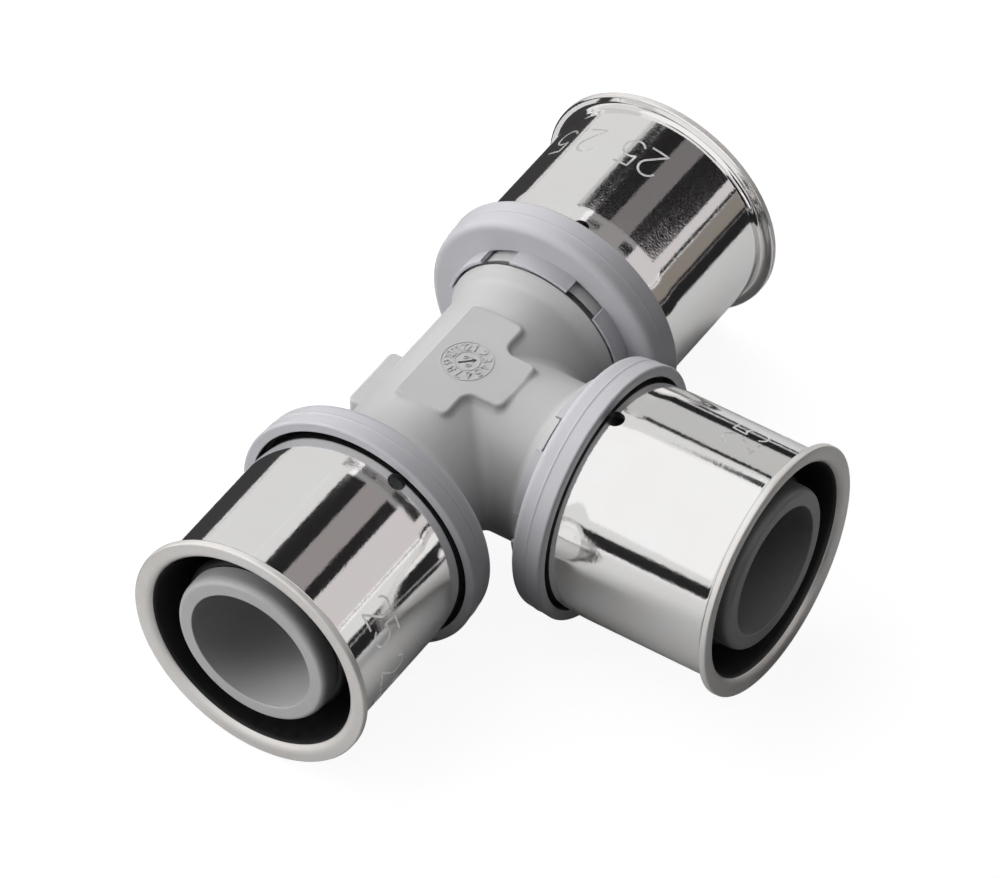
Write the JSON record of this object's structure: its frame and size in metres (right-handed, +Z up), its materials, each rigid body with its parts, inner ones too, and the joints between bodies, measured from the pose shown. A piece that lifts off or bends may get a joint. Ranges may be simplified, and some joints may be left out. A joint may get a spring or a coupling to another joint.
{
  "type": "press-fit pipe tee",
  "caption": "Pipe tee with a moulded body, barbed spigots with sealing rings, and a steel press sleeve held by a slotted retaining ring on each end.",
  "frame": {"origin": "where the axes of the run and the branch cross", "axes": "+X along the run towards the end on the picture's upper right, the branch leaves along -Y, +Z up through the flat pad with the date dial"},
  "size_m": [0.083, 0.0562, 0.0302],
  "materials": {
    "body_plastic": "moulded polyphenylsulfone, light grey, fine satin",
    "ring_plastic": "moulded polymer, light bluish grey, fine satin",
    "sleeve_steel": "bright drawn stainless steel with a satin rim",
    "seal_rubber": "black EPDM"
  },
  "bodies": {
    "root": {"tee_body": "body_plastic", "retaining_ring_left": "ring_plastic", "retaining_ring_right": "ring_plastic", "retaining_ring_branch": "ring_plastic", "press_sleeve_left": "sleeve_steel", "press_sleeve_right": "sleeve_steel", "press_sleeve_branch": "sleeve_steel", "outer_seal_left": "seal_rubber", "outer_seal_right": "seal_rubber", "outer_seal_branch": "seal_rubber", "inner_seal_left": "seal_rubber", "inner_seal_right": "seal_rubber", "inner_seal_branch": "seal_rubber"}
  },
  "joints": []
}
